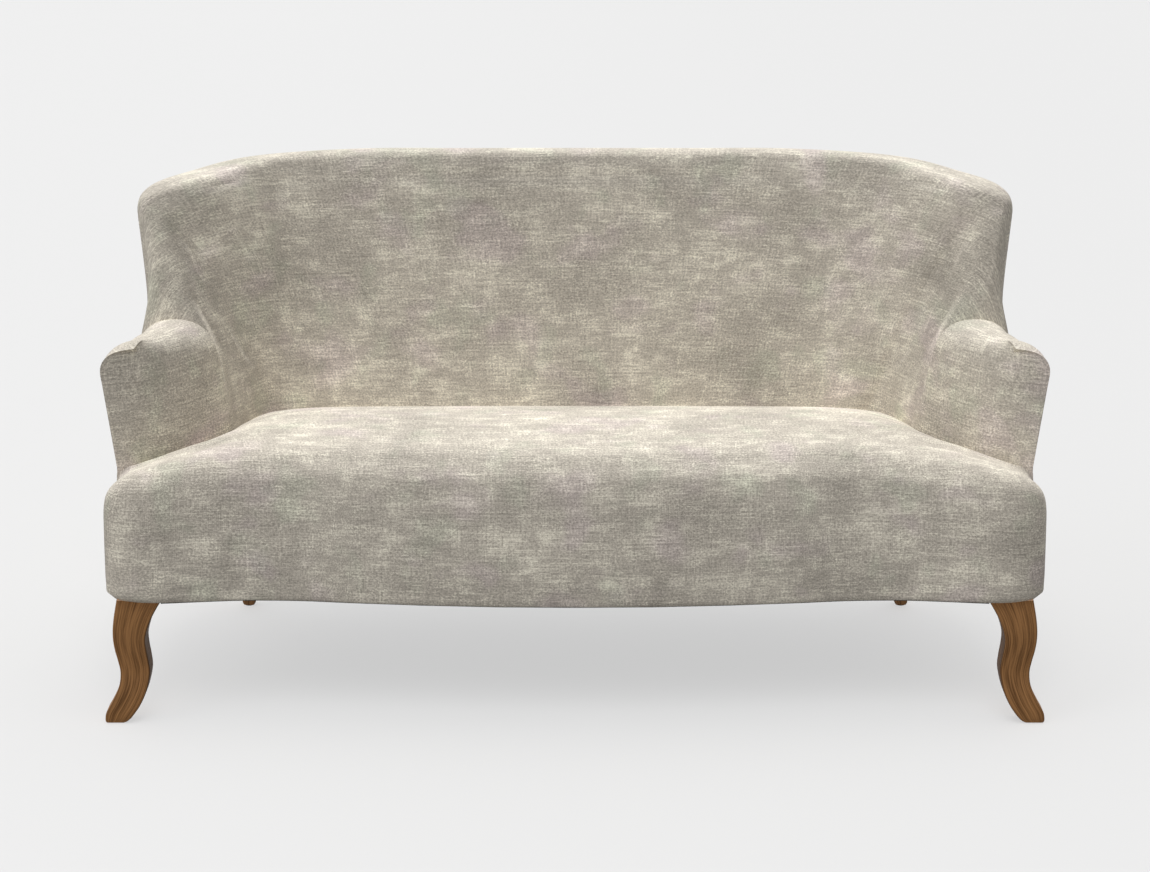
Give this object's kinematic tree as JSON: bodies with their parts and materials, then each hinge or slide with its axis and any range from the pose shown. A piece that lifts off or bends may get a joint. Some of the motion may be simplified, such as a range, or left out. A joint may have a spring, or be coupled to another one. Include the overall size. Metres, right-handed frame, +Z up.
{
  "type": "cabriole sofa",
  "caption": "Upholstered settee with a tight serpentine seat, low flared arms, a tall wrap-round winged back and carved wooden cabriole front legs.",
  "frame": {"origin": "on the floor, at the middle of the sofa's bounding box", "axes": "+X to the right of someone who faces the sofa's front, +Y from the seat front towards the back, +Z up"},
  "size_m": [1.731, 0.7818, 0.94],
  "materials": {
    "fabric": "mottled grey-beige linen-look weave",
    "outside_fabric": "mottled grey-beige linen-look weave",
    "leg_wood": "mid-brown satin varnish, fine grain along the leg",
    "frame_wood": "planed beech",
    "block_wood": "planed beech, end grain",
    "plated_steel": "zinc plated",
    "spring_steel": "drawn and oiled",
    "glide": "black nylon",
    "webbing": "woven elastic webbing",
    "felt": "needled felt",
    "foam": "open-cell foam",
    "wadding": "bonded polyester wadding",
    "dust_cloth": "non-woven black cloth"
  },
  "bodies": {
    "root": {"front_rail": "frame_wood", "side_rail_left": "frame_wood", "side_rail_right": "frame_wood", "back_rail": "frame_wood", "spring_rail": "frame_wood", "seat_stretchers": "frame_wood", "corner_blocks": "block_wood", "arm_post_left": "frame_wood", "arm_post_right": "frame_wood", "arm_rail_left": "frame_wood", "arm_rail_right": "frame_wood", "wing_post_left": "frame_wood", "wing_post_right": "frame_wood", "back_posts": "frame_wood", "back_centre_post": "frame_wood", "top_rail": "frame_wood", "tack_rail": "frame_wood", "frame_screws": "plated_steel", "back_webs": "webbing", "seat_springs": "spring_steel", "spring_clips": "plated_steel", "spring_felt": "felt", "seat_foam": "foam", "seat_cover": "fabric", "back_foam": "foam", "inside_back_cover": "fabric", "arm_foam_left": "foam", "arm_foam_right": "foam", "inside_arm_cover_left": "fabric", "inside_arm_cover_right": "fabric", "arm_outer_pad_left": "wadding", "arm_outer_pad_right": "wadding", "outside_arm_cover_left": "outside_fabric", "outside_arm_cover_right": "outside_fabric", "back_outer_pad": "wadding", "outside_back_cover": "outside_fabric", "dust_cover": "dust_cloth", "front_leg_left": "leg_wood", "front_leg_right": "leg_wood", "rear_leg_left": "leg_wood", "rear_leg_right": "leg_wood", "leg_bolts": "plated_steel", "leg_plates": "plated_steel", "leg_glides": "glide"}
  },
  "joints": []
}
